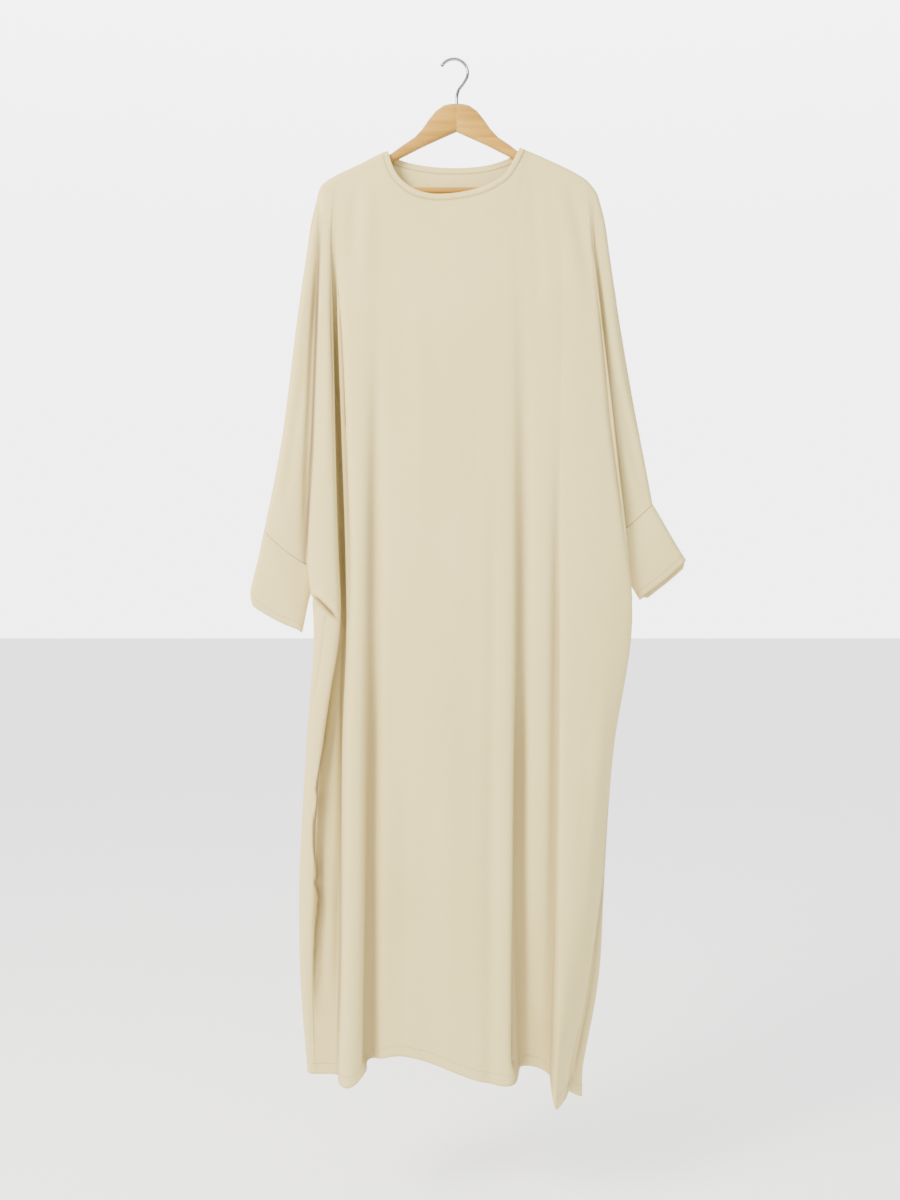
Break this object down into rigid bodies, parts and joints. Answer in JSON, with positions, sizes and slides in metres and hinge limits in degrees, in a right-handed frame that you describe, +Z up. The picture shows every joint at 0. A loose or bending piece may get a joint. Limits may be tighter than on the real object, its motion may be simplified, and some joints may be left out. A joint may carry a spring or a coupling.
{
  "type": "abaya on a wooden hanger",
  "caption": "Long loose batwing abaya with narrow cuffs and a round bound neck, hanging in soft upright folds on a wooden hanger with a chrome hook.",
  "frame": {"origin": "the inside top of the hook's loop, where it rests on a rail or a nail", "axes": "+Z up, along the length from hem to hook; -Y the wearer's front, which the picture shows; +X to the right in the picture, the wearer's left"},
  "size_m": [0.6791, 0.0839, 1.6208],
  "materials": {
    "cloth": "soft matte crepe",
    "band": "soft matte crepe, bound edge",
    "wood": "clear satin lacquer",
    "chrome": "polished"
  },
  "bodies": {
    "root": {"front_panel": "cloth", "back_panel": "cloth", "cuff_left": "cloth", "cuff_right": "cloth", "neck_binding": "band", "hanger_arm_left": "wood", "hanger_arm_right": "wood", "hanger_bar": "wood", "hanger_hook": "chrome"}
  },
  "joints": []
}
